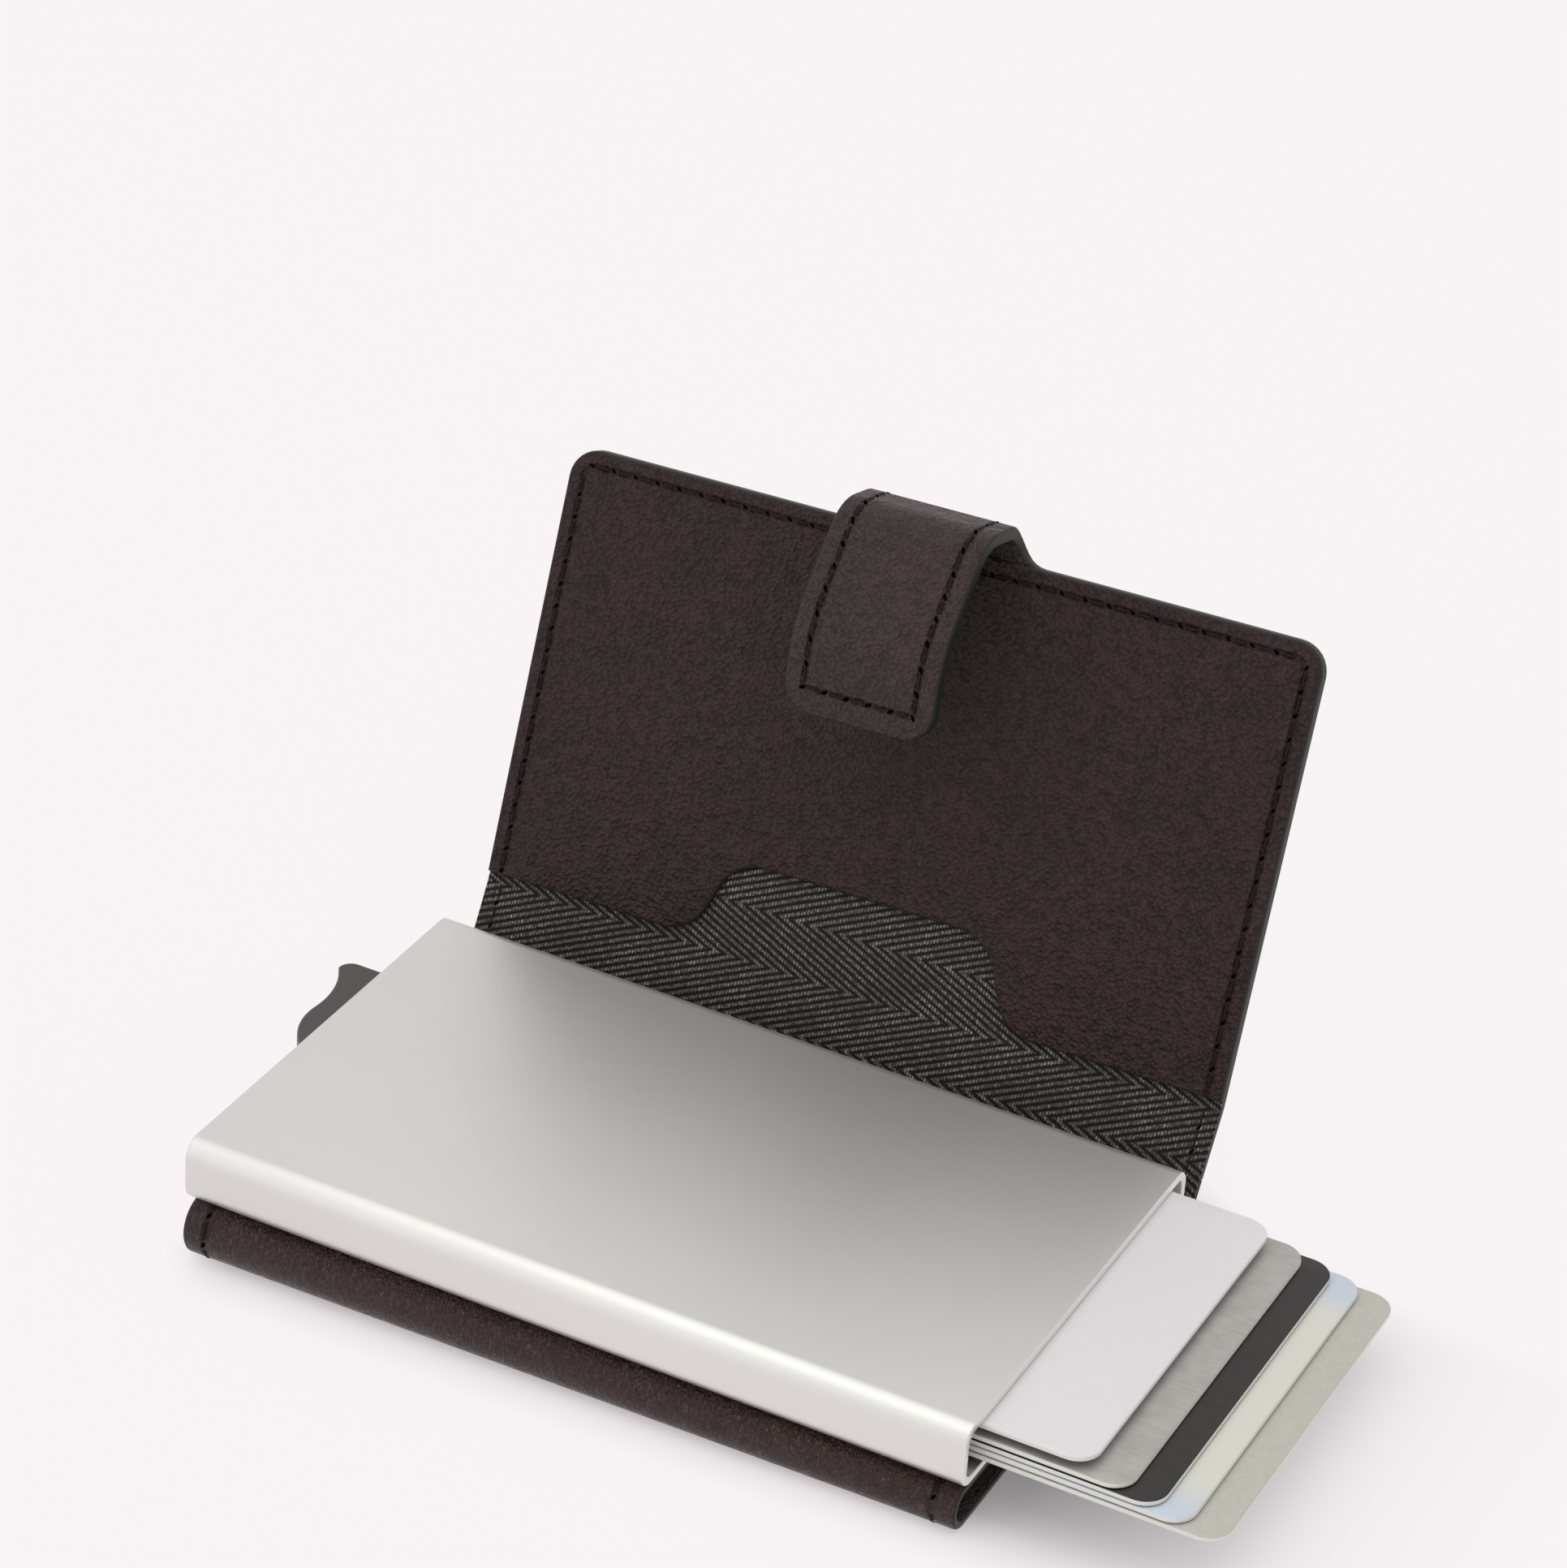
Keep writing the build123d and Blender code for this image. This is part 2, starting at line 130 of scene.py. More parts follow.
def start(name, kind, **settings):
    clear_selection()
    getattr(bpy.ops.mesh, "primitive_" + kind + "_add")(**settings)
    piece = bpy.context.object
    piece.name = name
    piece.data.name = name
    return piece


def select(piece):
    clear_selection()
    bpy.context.view_layer.objects.active = piece
    piece.select_set(True)


def edit(piece):
    select(piece)
    bpy.ops.object.mode_set(mode="EDIT")
    bpy.ops.mesh.select_all(action="SELECT")


def leave():
    bpy.ops.object.mode_set(mode="OBJECT")


def middle(item):
    # of a vertex, an edge or a face
    if hasattr(item, "co"):
        return item.co
    return sum((v.co for v in item.verts), Vector()) / len(item.verts)


def choose(piece, kind, test):
    # selects only what the test accepts by itself and its middle
    mode = {"verts": "VERT", "edges": "EDGE", "faces": "FACE"}[kind]
    bpy.ops.mesh.select_mode(type=mode)
    bpy.ops.mesh.select_all(action="DESELECT")
    mesh = bmesh.from_edit_mesh(piece.data)
    for item in getattr(mesh, kind):
        if test(item, middle(item)):
            item.select_set(True)
    mesh.select_flush_mode()
    bmesh.update_edit_mesh(piece.data)


def move(x, y, z):
    bpy.ops.transform.translate(value=(x, y, z))


def stretch(x, y, z, about=(0, 0, 0)):
    bpy.ops.transform.resize(value=(x, y, z), center_override=about)


def pull(x, y, z):
    bpy.ops.mesh.extrude_region_move(TRANSFORM_OT_translate={"value": (x, y, z)})


def cut_across(xs=(), ys=()):
    for x in xs:
        bpy.ops.mesh.select_all(action="SELECT")
        bpy.ops.mesh.bisect(plane_co=(x, 0, 0), plane_no=(1, 0, 0))
    for y in ys:
        bpy.ops.mesh.select_all(action="SELECT")
        bpy.ops.mesh.bisect(plane_co=(0, y, 0), plane_no=(0, 1, 0))


def steps(low, high, pitch):
    count = max(1, round((high - low) / pitch))
    return [low + (high - low) * i / count for i in range(1, count)]


def modify(piece, kind, **settings):
    select(piece)
    modifier = piece.modifiers.new(kind, kind)
    for key, value in settings.items():
        setattr(modifier, key, value)
    bpy.ops.object.modifier_apply(modifier=kind)


def thicken(piece, low, high):
    # a flat sheet at z 0 becomes a plate from low to high
    edit(piece)
    move(0, 0, low)
    bpy.ops.mesh.select_all(action="SELECT")
    bpy.ops.mesh.normals_make_consistent(inside=False)
    pull(0, 0, high - low)
    bpy.ops.mesh.select_all(action="SELECT")
    bpy.ops.mesh.normals_make_consistent(inside=False)
    leave()


def soften(piece, width, segments=3, where=lambda place: True):
    # rounds the sharp edges of a plate
    edit(piece)
    choose(piece, "edges", lambda edge, place: edge.is_manifold
           and edge.calc_face_angle(0) > math.radians(50) and where(place))
    bpy.ops.mesh.bevel(offset=width, segments=segments, affect="EDGES", clamp_overlap=False)
    leave()


def lay_out(piece):
    # keeps each point's place on the flat cut as a map, so that a pattern follows the surface
    layer = piece.data.uv_layers.get("flat") or piece.data.uv_layers.new(name="flat")
    piece.data.uv_layers.active = layer
    for loop in piece.data.loops:
        place = piece.data.vertices[loop.vertex_index].co
        layer.data[loop.index].uv = (place.x * MM, place.y * MM)


def paint_rim(piece, slope=0.8):
    # gives the faces that look sideways the second material
    for face in piece.data.polygons:
        face.material_index = 1 if abs(face.normal.z) < slope else 0


def shape(piece, where):
    # carries every point of the flat cut to its place
    for vertex in piece.data.vertices:
        vertex.co = where(*vertex.co)
    piece.data.update()


def finish(piece, materials, slot, body=None, place=None, stands_for=(), smooth=40):
    # materials, place and metres, then the solids that it stands for are hidden and it hangs on its body
    for material in materials:
        piece.data.materials.append(material)
    if place is not None:
        piece.data.transform(place)
    piece.data.transform(Matrix.Scale(MM, 4))
    select(piece)
    bpy.ops.object.shade_smooth_by_angle(angle=math.radians(smooth))
    clear_selection()
    if stands_for:
        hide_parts(*stands_for)
    if body:
        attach(piece, body)
    return piece


def twin(piece, name):
    copy = piece.copy()
    copy.data = piece.data.copy()
    copy.name = name
    copy.data.name = name
    bpy.context.scene.collection.objects.link(copy)
    return copy


def join(pieces, name):
    clear_selection()
    for piece in pieces:
        piece.select_set(True)
    bpy.context.view_layer.objects.active = pieces[0]
    bpy.ops.object.join()
    whole = bpy.context.object
    whole.name = name
    whole.data.name = name
    return whole


# The cover's line, seen from the lever end

def rounded_line(corners, radii):
    # straight runs joined by arcs, as (length, point, direction, turn per millimetre)
    points = [Vector(corner) for corner in corners]
    runs = []
    at = points[0]
    for index, radius in enumerate(radii):
        corner = points[index + 1]
        way_in = (corner - points[index]).normalized()
        way_out = (points[index + 2] - corner).normalized()
        turn = math.atan2(way_in.x * way_out.y - way_in.y * way_out.x, way_in.dot(way_out))
        back = radius * math.tan(abs(turn) / 2)
        runs.append(((corner - way_in * back - at).length, at, way_in, 0))
        runs.append((radius * abs(turn), corner - way_in * back, way_in, math.copysign(1 / radius, turn)))
        at = corner + way_out * back
    runs.append(((points[-1] - at).length, at, (points[-1] - at).normalized(), 0))
    return runs


def along(runs, distance):
    # point and direction at a distance along the line; it goes on straight past its ends
    for number, (length, at, way, bend) in enumerate(runs):
        if distance <= length or number == len(runs) - 1:
            if not bend:
                return at + way * distance, way
            turned = distance * bend
            side = Vector((-way.y, way.x))
            point = at + (way * math.sin(turned) + side * (1 - math.cos(turned))) / bend
            return point, way * math.cos(turned) + side * math.sin(turned)
        distance -= length


COVER_FROM = 20.0
LEAF_TO_SPINE = 32.75
FLAP_END = (CREASE[0] + FLAP * math.sin(FLAP_LEAN), CREASE[1] + FLAP * math.cos(FLAP_LEAN))
BEND_RADII = [1.5, 8.0]
COVER_LINE = rounded_line([(COVER_FROM, HALF), (LEAF_TO_SPINE, HALF), CREASE, FLAP_END], BEND_RADII)
CREASE_AT = sum(run[0] for run in COVER_LINE[:3]) + COVER_LINE[3][0] / 2
STRAP_LINE = rounded_line(STRAP_CORNERS, STRAP_RADII)
STRAP_LENGTH = sum(run[0] for run in STRAP_LINE) + STRAP_PAST


def flap_point(up, inward):
    # up the flap from its crease, and inwards from the leather's middle
    return Vector((CREASE[0] + up * math.sin(FLAP_LEAN) - inward * math.cos(FLAP_LEAN),
                   CREASE[1] + up * math.cos(FLAP_LEAN) + inward * math.sin(FLAP_LEAN)))


def cover_point(x, v, w):
    # x along the cover, v up from the crease between spine and flap, w from the leather's middle inwards
    side = x / COVER_HALF
    if v > FLAP:
        point, way = along(STRAP_LINE, v - FLAP)
        point = point + Vector((-way.y, way.x)) * (w - HALF)
        place = flap_point(FLAP + point.x, HALF + point.y)
    else:
        point, way = along(COVER_LINE, CREASE_AT + v)
        place = point + Vector((-way.y, way.x)) * w
    # the mouth end leans back a little more and stands a little higher than the lever end
    share = min(max((place.y - SPINE_AXIS[1]) / (CREASE[1] - SPINE_AXIS[1]), 0), 1)
    lean = SPINE_LEAN + SPINE_WARP[0] * side + SPINE_WARP[1] * side * side
    place = place + SPINE * share * Vector((math.sin(lean) - math.sin(SPINE_LEAN),
                                            math.cos(lean) - math.cos(SPINE_LEAN)))
    upper = min(max(v / FLAP, 0), 1)
    place = place + FLAP_WARP * side * upper * Vector((math.sin(FLAP_LEAN), math.cos(FLAP_LEAN)))
    return Vector((x, place.x, place.y))


def leaf_high(x):
    # the leaf is thicker towards the lever end
    return LEAF_HIGH - x * math.tan(TILT)


# runs of the leaf's map, about as long as its layers and its nose
FLAT_RUN = 60.0
NOSE_RUN = 10.0
LEAF_RUN = 2 * FLAT_RUN + NOSE_RUN


def leaf_point(x, s, w):
    # x along the leaf; s over the lower layer, round the nose and back over the upper; w outwards
    radius = leaf_high(x) / 2 - HALF
    nose = LEAF_FRONT + leaf_high(x) / 2
    if s < FLAT_RUN:
        return Vector((x, LEAF_BACK + (nose - LEAF_BACK) * s / FLAT_RUN, HALF - w))
    if s > FLAT_RUN + NOSE_RUN:
        share = (s - FLAT_RUN - NOSE_RUN) / FLAT_RUN
        return Vector((x, nose + (LEAF_UPPER_BACK - nose) * share, leaf_high(x) - HALF + w))
    angle = math.pi * (s - FLAT_RUN) / NOSE_RUN
    out = radius + w
    return Vector((x, nose - out * math.sin(angle), HALF + radius - out * math.cos(angle)))


# Shaders

class Flow:
    # one shader value; sums on it add maths nodes
    def __init__(self, nodes, socket):
        self.nodes = nodes
        self.socket = socket

    def math(self, operation, *values):
        return self.nodes.add("ShaderNodeMath", {"operation": operation}, *values)

    def __add__(self, other):
        return self.math("ADD", self, other)

    def __radd__(self, other):
        return self.math("ADD", other, self)

    def __sub__(self, other):
        return self.math("SUBTRACT", self, other)

    def __rsub__(self, other):
        return self.math("SUBTRACT", other, self)

    def __mul__(self, other):
        return self.math("MULTIPLY", self, other)

    def __rmul__(self, other):
        return self.math("MULTIPLY", other, self)

    def __truediv__(self, other):
        return self.math("DIVIDE", self, other)

    def __rtruediv__(self, other):
        return self.math("DIVIDE", other, self)

    def __abs__(self):
        return self.math("ABSOLUTE", self)

    def above(self, other):
        return self.math("MAXIMUM", self, other)

    def below(self, other):
        return self.math("MINIMUM", self, other)

    def root(self):
        return self.math("SQRT", self)

    def fold(self, width):
        # up and down again, over and over, from 0 to width and back
        return self.math("PINGPONG", self, width)


class Nodes:
    # the nodes of a material or of the world
    def __init__(self, tree):
        self.tree = tree

    def node(self, kind, settings=None, *values, **named):
        made = self.tree.nodes.new(kind)
        for key, value in (settings or {}).items():
            setattr(made, key, value)
        pairs = [(made.inputs[i], v) for i, v in enumerate(values)]
        pairs += [(made.inputs[key.replace("_", " ")], v) for key, v in named.items()]
        for socket, value in pairs:
            self.join(socket, value)
        return made

    def join(self, socket, value):
        if isinstance(value, Flow):
            value = value.socket
        if isinstance(value, bpy.types.NodeSocket):
            self.tree.links.new(value, socket)
        elif socket.type == "RGBA" and len(value) == 3:
            socket.default_value = (*value, 1)
        else:
            socket.default_value = value

    def add(self, kind, settings=None, *values, out=0, **named):
        return Flow(self, self.node(kind, settings, *values, **named).outputs[out])

    def mix(self, factor, low, high):
        made = self.node("ShaderNodeMix", {"data_type": "RGBA"})
        for number, value in ((0, factor), (6, low), (7, high)):
            self.join(made.inputs[number], value)
        return made.outputs[2]

    def spread(self, value, low, high, to_low=0.0, to_high=1.0):
        # the range from low to high becomes the one from to_low to to_high
        return self.add("ShaderNodeMapRange", {"clamp": True}, value, low, high, to_low, to_high)

    def noise(self, place, scale, detail, **named):
        return self.add("ShaderNodeTexNoise", None, Vector=place, Scale=scale, Detail=detail, **named)

    def parts(self, place):
        made = self.node("ShaderNodeSeparateXYZ", None, place)
        return [Flow(self, output) for output in made.outputs]

    def rays(self):
        # what the camera sees straight, and what it sees in metal and glass
        path = self.node("ShaderNodeLightPath").outputs
        return (Flow(self, path["Is Camera Ray"]),
                Flow(self, path["Is Glossy Ray"]) + Flow(self, path["Is Transmission Ray"]))

    def show(self, factor, first, second, end):
        both = self.node("ShaderNodeMixShader", None, factor, first, second)
        self.tree.links.new(both.outputs[0], self.tree.nodes[end].inputs["Surface"])


class Shader(Nodes):
    # a named material on its principled surface
    def __init__(self, name):
        self.material = bpy.data.materials.new(name)
        self.material.use_nodes = True
        super().__init__(self.material.node_tree)
        self.surface = self.tree.nodes["Principled BSDF"]

    def place(self):
        return self.node("ShaderNodeTexCoord").outputs["Object"]

    def flat(self):
        # the place on the flat cut, along the cover and up it
        along_cover, up_cover, _ = self.parts(self.node("ShaderNodeUVMap", {"uv_map": "flat"}).outputs[0])
        return along_cover, up_cover

    def bump(self, height, strength, distance):
        return self.node("ShaderNodeBump", None, Height=height, Strength=strength, Distance=distance).outputs[0]

    def set(self, **values):
        for key, value in values.items():
            self.join(self.surface.inputs[key.replace("_", " ")], value)
        return self.material


# the groove that the thread is pulled into, in metres from its middle
GROOVE_HALF = 0.00012
GROOVE_FADE = 0.0005


def seam_groove(s, across, up, radius):
    # 1 along a stitch line that runs up both sides and across the top, fading to 0 beside it
    u, v = s.flat()
    side = abs(u) - (across - radius) * MM
    if up is None:
        gap = abs(side - radius * MM)
    else:
        top = v - (up - radius) * MM
        out, over = side.above(0.0), top.above(0.0)
        gap = abs((out * out + over * over).root() + side.above(top).below(0.0) - radius * MM)
    return s.spread(gap, GROOVE_HALF, GROOVE_FADE, 1.0, 0.0)


# the leather's grain: how often each part of it repeats in a metre, and its reach and height in metres
STIR_SCALE = 800.0
PEBBLE_SCALE = 1900.0
SWELL_SCALE = 620.0
FINE_SCALE = 4200.0
SLOW_SCALE = 150.0
RIB_SCALES = (3600.0, 1300.0)
STIR_REACH = 0.0007
GRAIN_HEIGHT = 0.0004
# painted shade: near black, darker than the leather, laid along the stitch grooves
GROOVE_SHADE = (0.008, 0.005, 0.005)
SEAM_START = 2.0


def leather(name, deep, high, seam, seam_from=-1.0, groove=0.6, roughness=0.5, shine=0.2, ribs=0.0):
    # small soft pebbles with creases between them, over a slow unevenness; ribs draw them out across the fold
    s = Shader(name)
    place = s.place()
    u, v = s.flat()
    stir = s.node("ShaderNodeTexNoise", None, Vector=place, Scale=STIR_SCALE, Detail=2.0).outputs["Color"]
    shifted = s.node("ShaderNodeMix", {"data_type": "VECTOR"})
    for number, value in ((0, STIR_REACH), (4, place), (5, stir)):
        s.join(shifted.inputs[number], value)
    cell = s.add("ShaderNodeTexVoronoi", {"feature": "SMOOTH_F1"}, Vector=shifted.outputs[1],
                 Scale=PEBBLE_SCALE, Smoothness=0.3)
    pebble = s.spread(cell, 0.75, 0.2)
    swell = s.noise(place, SWELL_SCALE, 4.0)
    fine = s.noise(place, FINE_SCALE, 2.0)
    slow = s.noise(place, SLOW_SCALE, 2.0)
    tone = pebble * 0.45 + swell * (0.9 - 0.4 * ribs) + fine * 0.2 + slow * 0.25 + 0.2 * ribs
    height = pebble * 0.55 + swell * 1.5 + fine * 0.2
    if ribs:
        across = s.node("ShaderNodeCombineXYZ", None, u * RIB_SCALES[0], v * RIB_SCALES[1], 0.0).outputs[0]
        rib = s.spread(s.noise(across, 1.0, 2.0, Distortion=1.2), 0.36, 0.62)
        height = height * (1 - 0.5 * ribs) + rib * ribs * 0.95
        tone = tone + (rib - 0.5) * ribs * 0.35
    line = seam_groove(s, *seam) * s.spread(v, seam_from * MM, (seam_from + SEAM_START) * MM) * groove
    # painted shade: the colour goes near black along the stitch groove, which the bump also presses in
    colour = s.mix(line, s.mix(s.spread(tone, 0.6, 1.25), deep, high), GROOVE_SHADE)
    return s.set(Base_Color=colour, Roughness=s.spread(swell, 0.3, 0.7, roughness - 0.08, roughness + 0.08),
                 Normal=s.bump(height - line * 2.5, 1.0, GRAIN_HEIGHT), Specular_IOR_Level=shine)


def plain(name, colour, roughness, metallic=0.0, bump=0.0, scale=3000.0, specular=0.5):
    # one colour with a fine tooth
    s = Shader(name)
    s.set(Base_Color=colour, Roughness=roughness, Metallic=metallic, Specular_IOR_Level=specular)
    if bump:
        s.set(Normal=s.bump(s.noise(s.place(), scale, 2.0), bump, 0.00008))
    return s.material


# the cloth, in metres: half of its two bands, how steeply its stripes lean, and its stripes and warp yarns
BAND = 0.0072
BAND_SHIFT = 0.0002
STRIPE_SLOPE = 0.46
STRIPE_PITCH = 0.00098
WARP_PITCH = 0.00042
CLOTH_HEIGHT = 0.00025


def herringbone(name):
    # twill bands that run along the cover, each leaning the other way to the next
    s = Shader(name)
    u, v = s.flat()
    stripe = ((u * STRIPE_SLOPE + (v + BAND_SHIFT).fold(BAND)) / STRIPE_PITCH).fold(0.5) * 2
    ridge = s.spread(stripe, 0.25, 0.7)
    place = s.place()
    yarn = s.noise(place, 2600.0, 2.0)
    worn = s.noise(place, 220.0, 2.0)
    warp = (u / WARP_PITCH).fold(0.5) * 2
    knot = s.spread(warp, 0.15, 0.7) * ridge
    fleck = knot * s.spread(yarn, 0.4, 0.64) * s.spread(worn, 0.35, 0.65, 0.45, 1.0)
    ground = s.mix(ridge, (0.014, 0.0125, 0.0115), (0.062, 0.056, 0.050))
    return s.set(Base_Color=s.mix(fleck, ground, (0.42, 0.39, 0.34)), Roughness=0.9,
                 Normal=s.bump(ridge + knot * 0.5 + yarn * 0.3, 0.7, CLOTH_HEIGHT), Specular_IOR_Level=0.2)


def blasted_aluminium(name):
    s = Shader(name)
    place = s.place()
    grit = s.noise(place, 5200.0, 2.0)
    cloud = s.noise(place, 60.0, 1.0)
    return s.set(Base_Color=s.mix(cloud, (0.79, 0.78, 0.755), (0.82, 0.81, 0.785)), Metallic=0.95,
                 Roughness=s.spread(grit, 0.3, 0.7, 0.42, 0.5), Normal=s.bump(grit, 0.12, 0.00004))


def brushed_silver_card(name):
    # fine strokes from end to end over a mottled grey
    s = Shader(name)
    drawn_out = s.node("ShaderNodeMapping", None, s.place(), Scale=(320.0, 2300.0, 1000.0)).outputs[0]
    stroke = s.noise(drawn_out, 1.0, 3.0)
    cloud = s.noise(s.place(), 420.0, 3.0)
    tone = s.spread(stroke * 0.5 + cloud * 0.5, 0.32, 0.66)
    return s.set(Base_Color=s.mix(tone, (0.42, 0.405, 0.375), (0.53, 0.515, 0.48)), Roughness=0.4, Metallic=0.1)


def tinted_card(name):
    # pale card with a soft wash of blue towards its long edges, no print
    s = Shader(name)
    place = s.place()
    _, wide, _ = s.parts(place)
    wash = s.noise(place, 130.0, 2.0)
    edge = s.spread(abs(wide) + wash * 0.006, 0.0215, 0.0265)
    return s.set(Base_Color=s.mix(edge, (0.775, 0.77, 0.69), (0.64, 0.72, 0.80)), Roughness=0.4)


def speckled_card(name, colour, other):
    s = Shader(name)
    speck = s.noise(s.place(), 1500.0, 3.0)
    return s.set(Base_Color=s.mix(s.spread(speck, 0.35, 0.65), colour, other), Roughness=0.4)


COVER_SEAM = (COVER_HALF - STITCH_INSET, FLAP - STITCH_INSET, CORNER - STITCH_INSET)
STRAP_SEAM = (STRAP_HALF - STRAP_INSET, FLAP + STRAP_LENGTH - STRAP_END_INSET, 0.6)
HEM_SEAM = (COVER_HALF - HEM_INSET, None, 0.0)
POCKET_LEATHER = leather("pocket leather", (0.0190, 0.0105, 0.0098), (0.0575, 0.0348, 0.0328), COVER_SEAM,
                         groove=0.45)
COVER_LEATHER = leather("cover leather", (0.018, 0.0095, 0.0088), (0.064, 0.0385, 0.036), STRAP_SEAM,
                        seam_from=FLAP + 1, groove=0.4, roughness=0.4, shine=0.3)
LEAF_LEATHER = leather("leaf leather", (0.032, 0.0145, 0.0118), (0.080, 0.041, 0.0345), HEM_SEAM,
                       roughness=0.33, shine=0.42, ribs=1.0)
LEATHER_RIM = plain("painted leather edge", (0.021, 0.0225, 0.0185), 0.5, bump=0.25, scale=900.0, specular=0.25)
LINING = herringbone("herringbone lining")
THREAD = plain("dark thread", (0.013, 0.008, 0.0075), 0.6, bump=0.4, scale=4000.0, specular=0.2)
# painted shade: near black without sheen, for the shade inside the needle holes
HOLE_SHADE = plain("needle hole", (0.003, 0.002, 0.002), 0.9, specular=0.0)
ALUMINIUM = blasted_aluminium("blasted aluminium")
CUT_METAL = plain("cut metal edge", (0.86, 0.85, 0.83), 0.4, metallic=0.5)
LEVER_BLACK = plain("lever plastic", (0.066, 0.056, 0.058), 0.42, bump=0.12, scale=2500.0)
FRAME_BLACK = plain("frame plastic", (0.02, 0.02, 0.02), 0.5)
STEEL = plain("plain steel", (0.55, 0.55, 0.56), 0.35, metallic=1.0)
RUBBER = plain("grip rubber", (0.03, 0.03, 0.03), 0.8)
FELT = plain("felt", (0.04, 0.04, 0.04), 0.95, bump=0.5)
BOARD = plain("fibre board", (0.2, 0.18, 0.15), 0.85, bump=0.3)
TAPE = plain("dark tape", (0.03, 0.026, 0.024), 0.85, bump=0.3)
PAD = plain("adhesive pad", (0.04, 0.04, 0.04), 0.8)
CORE = plain("card core", (0.84, 0.83, 0.79), 0.5)
# painted shade: dark grey for each card's underside and lower bevel, darkening the gaps between the stacked cards
CARD_UNDER_SHADE = plain("painted shade under card", (0.045, 0.045, 0.05), 0.5)
CARD_FACES = [
    speckled_card("white card", (0.85, 0.815, 0.83), (0.87, 0.835, 0.85)),
    brushed_silver_card("silver card"),
    speckled_card("charcoal card", (0.019, 0.015, 0.015), (0.026, 0.021, 0.021)),
    tinted_card("tinted card"),
    speckled_card("beige card", (0.555, 0.545, 0.475), (0.595, 0.585, 0.515)),
]


# Leather and cloth of the cover

def sheet(name, half, low, high):
    # flat rectangle across the cover, from low to high up it, left open for editing
    piece = start(name, "plane", size=1)
    edit(piece)
    stretch(2 * half, high - low, 1)
    move(0, (low + high) / 2, 0)
    return piece


def dress(piece, form, materials, slot, **told):
    # the cut edge's paint, the map, the place and the finish, which all parts of the cover share
    paint_rim(piece)
    lay_out(piece)
    shape(piece, form)
    return finish(piece, materials, slot, **told)


def both_ends(half, high):
    return [(-half, high), (half, high)]


def round_corners(piece, spots, radius, segments=8):
    choose(piece, "verts", lambda v, place: any((place.xy - Vector(spot)).length < 5 * NEAR for spot in spots))
    bpy.ops.mesh.bevel(offset=radius, affect="VERTICES", segments=segments, clamp_overlap=False)


def tongue_outline(piece, base):
    # the middle of the top edge is drawn out into the strap
    choose(piece, "edges", lambda e, place: place.y > FLAP - NEAR)
    bpy.ops.mesh.subdivide(number_cuts=2)
    mesh = bmesh.from_edit_mesh(piece.data)
    for vertex in mesh.verts:
        if vertex.co.y > FLAP - NEAR and abs(vertex.co.x) < base - NEAR:
            vertex.co.x = math.copysign(STRAP_HALF, vertex.co.x)
    bmesh.update_edit_mesh(piece.data)
    choose(piece, "edges", lambda e, place: place.y > FLAP - NEAR and abs(place.x) < 1)
    pull(0, STRAP_LENGTH, 0)
    choose(piece, "edges", lambda e, place: abs(place.y - FLAP) < NEAR and abs(place.x) < 1)
    bpy.ops.mesh.dissolve_edges(use_verts=False)
    round_corners(piece, both_ends(STRAP_HALF, FLAP + STRAP_LENGTH), STRAP_TIP)
    round_corners(piece, both_ends(STRAP_HALF, FLAP), STRAP_FLARE)


STRAP_ROW = 0.6
FIRST_ROW = 0.35


def strap_rows():
    # none between the rounded corners of the tip, where the strap hangs straight
    count = int((STRAP_LENGTH - STRAP_TIP - 0.5) / STRAP_ROW)
    return [FLAP + FIRST_ROW + STRAP_ROW * i for i in range(count)]


STRAP_COLUMNS = [-11.8, -8.8, -5, 0, 5, 8.8, 11.8]
CUT_COLUMNS = [-44, -36, -28, -20, -14.2] + STRAP_COLUMNS + [14.2, 20, 28, 36, 44]
SKIN_LOW = 8.0
MID_SPINE = -9.0
SKIN_ROWS = steps(SKIN_LOW, FLAP, 5.0)
BOARD_HALF = CUT_COLUMNS[-1]
BOARD_LOW = SKIN_ROWS[0]
BOARD_HIGH = SKIN_ROWS[-1]
BOARD_THICK = 0.35
BOARD_ROOM = 0.1

# Outer leather of flap and strap, hollowed for the board behind the lining
skin = sheet("cover_skin", COVER_HALF, SKIN_LOW, FLAP)
tongue_outline(skin, COVER_HALF)
round_corners(skin, both_ends(COVER_HALF, FLAP), CORNER)
cut_across(CUT_COLUMNS, SKIN_ROWS + strap_rows())
leave()
thicken(skin, -HALF, HALF)
edit(skin)
choose(skin, "faces", lambda f, place: place.z > HALF - NEAR and abs(place.x) < BOARD_HALF
       and BOARD_LOW < place.y < BOARD_HIGH)
move(0, 0, -BOARD_THICK)
leave()
soften(skin, LEATHER_EDGE, where=lambda place: place.z < 0 and place.y > SKIN_LOW + NEAR)
dress(skin, cover_point, [COVER_LEATHER, LEATHER_RIM], "cover_leather",
      stands_for=("flap_leather", "strap_leather"))

board = sheet("flap_board", BOARD_HALF - BOARD_ROOM, BOARD_LOW + BOARD_ROOM, BOARD_HIGH - BOARD_ROOM)
cut_across(CUT_COLUMNS[1:-1], steps(BOARD_LOW, BOARD_HIGH, 5.0))
leave()
thicken(board, HALF - BOARD_THICK, HALF)
shape(board, cover_point)
finish(board, [BOARD], "board", body="flap", stands_for=("flap_stiffener",))

# Outer leather over the two creases: its upper part bends at the flap, its lower part at the leaf
FOLD_LOW = LEAF_BACK - COVER_FROM - CREASE_AT


def fold(name, low, high, row_pitch, rounded, stands_for=()):
    piece = sheet(name, COVER_HALF, low, high)
    cut_across(CUT_COLUMNS, steps(low, high, row_pitch))
    leave()
    thicken(piece, -HALF, HALF)
    soften(piece, LEATHER_EDGE, where=lambda place: abs(place.x) > COVER_HALF - NEAR and rounded(place.z))
    return dress(piece, cover_point, [COVER_LEATHER, LEATHER_RIM], "cover_leather", stands_for=stands_for)


